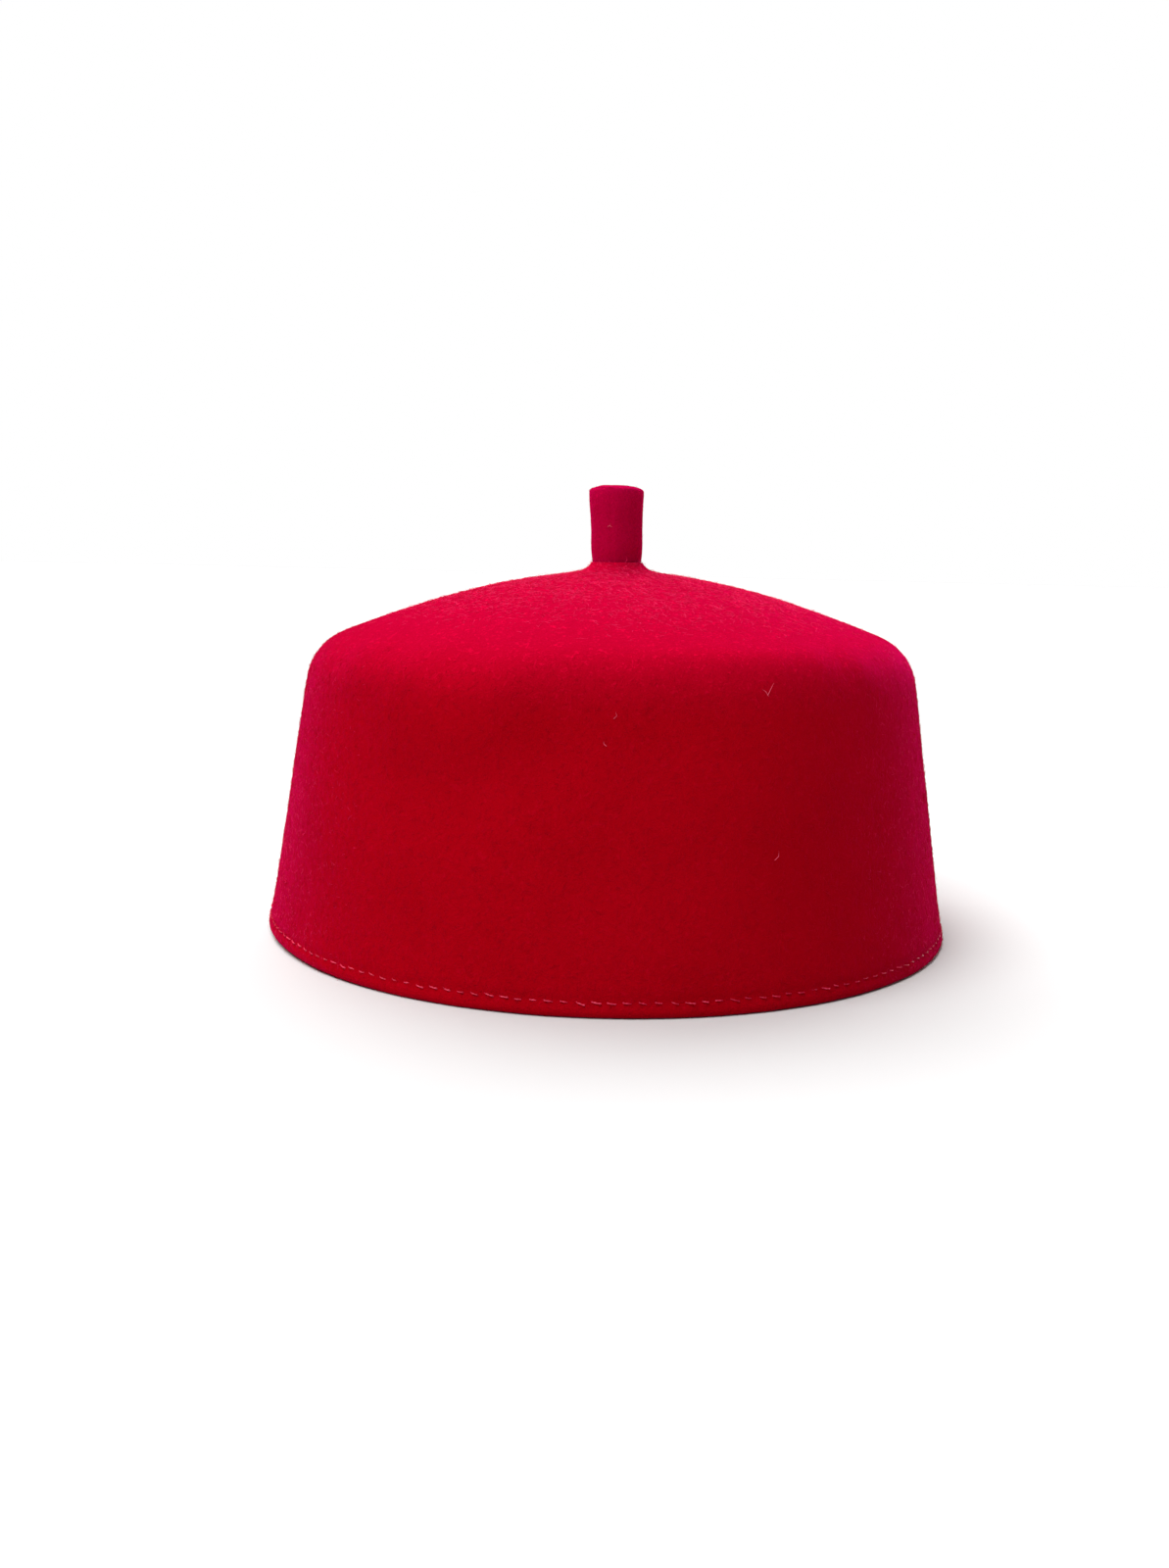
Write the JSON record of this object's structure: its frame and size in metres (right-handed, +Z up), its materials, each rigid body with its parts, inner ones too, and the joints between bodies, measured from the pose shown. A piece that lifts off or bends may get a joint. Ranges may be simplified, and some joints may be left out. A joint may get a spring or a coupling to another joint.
{
  "type": "igbo cap",
  "caption": "Brimless red wool felt cap with a drum that widens to the rim, a low domed top and an upright rolled felt stub, open below for the wearer's head.",
  "frame": {"origin": "middle of the oval rim's underside, where the cap rests", "axes": "+Z up the stub, -Y out of the cap's front, +Y along the head's length towards the back, +X to the right when seen from the front"},
  "size_m": [0.186, 0.1934, 0.1202],
  "materials": {
    "crown_felt": "matte",
    "stub_felt": "matte"
  },
  "bodies": {
    "root": {"felt_crown": "crown_felt", "stub": "stub_felt"}
  },
  "joints": []
}
